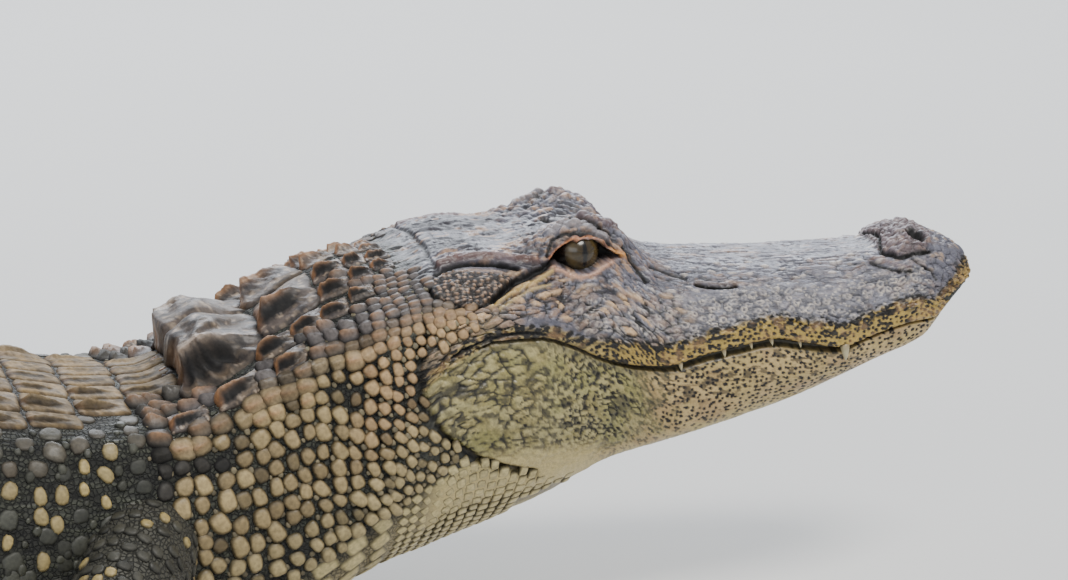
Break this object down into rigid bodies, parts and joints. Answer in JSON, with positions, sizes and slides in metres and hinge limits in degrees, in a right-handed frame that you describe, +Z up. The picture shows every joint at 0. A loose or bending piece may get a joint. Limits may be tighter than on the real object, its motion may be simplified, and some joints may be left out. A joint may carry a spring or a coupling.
{
  "type": "american alligator",
  "caption": "Life-size still model of an American alligator at rest on its belly, head and neck raised, tail in a shallow S.",
  "frame": {"origin": "Centre of the bottom of the animal's box; the floor is Z = 0.", "axes": "+X toward the snout, +Y toward the animal's left, +Z up."},
  "size_m": [2.3156, 0.621, 0.249],
  "materials": {
    "head_hide": "damp, slightly glossy horny scales, grey-brown over olive-black",
    "jaw_skin": "satin cream-tan skin with fine dark dots",
    "body_hide": "satin dark hide with bony keeled scutes",
    "eye_surface": "wet glossy olive-brown iris with a vertical slit pupil",
    "claw_horn": "dark horn, satin"
  },
  "bodies": {
    "root": {"head": "head_hide", "lower_jaw": "jaw_skin", "eye_right": "eye_surface", "eye_left": "eye_surface", "neck": "body_hide", "trunk_front": "body_hide", "trunk_rear": "body_hide", "tail_1": "body_hide", "tail_2": "body_hide", "tail_3": "body_hide", "tail_4": "body_hide", "foreleg_right_lower": "body_hide", "foreleg_right_upper": "body_hide", "foreleg_left_lower": "body_hide", "foreleg_left_upper": "body_hide", "hindleg_right_lower": "body_hide", "hindleg_right_upper": "body_hide", "hindleg_left_lower": "body_hide", "hindleg_left_upper": "body_hide", "claw_front_right_1": "claw_horn", "claw_front_right_2": "claw_horn", "claw_front_right_3": "claw_horn", "claw_front_left_1": "claw_horn", "claw_front_left_2": "claw_horn", "claw_front_left_3": "claw_horn", "claw_hind_right_1": "claw_horn", "claw_hind_right_2": "claw_horn", "claw_hind_right_3": "claw_horn", "claw_hind_left_1": "claw_horn", "claw_hind_left_2": "claw_horn", "claw_hind_left_3": "claw_horn"}
  },
  "joints": []
}
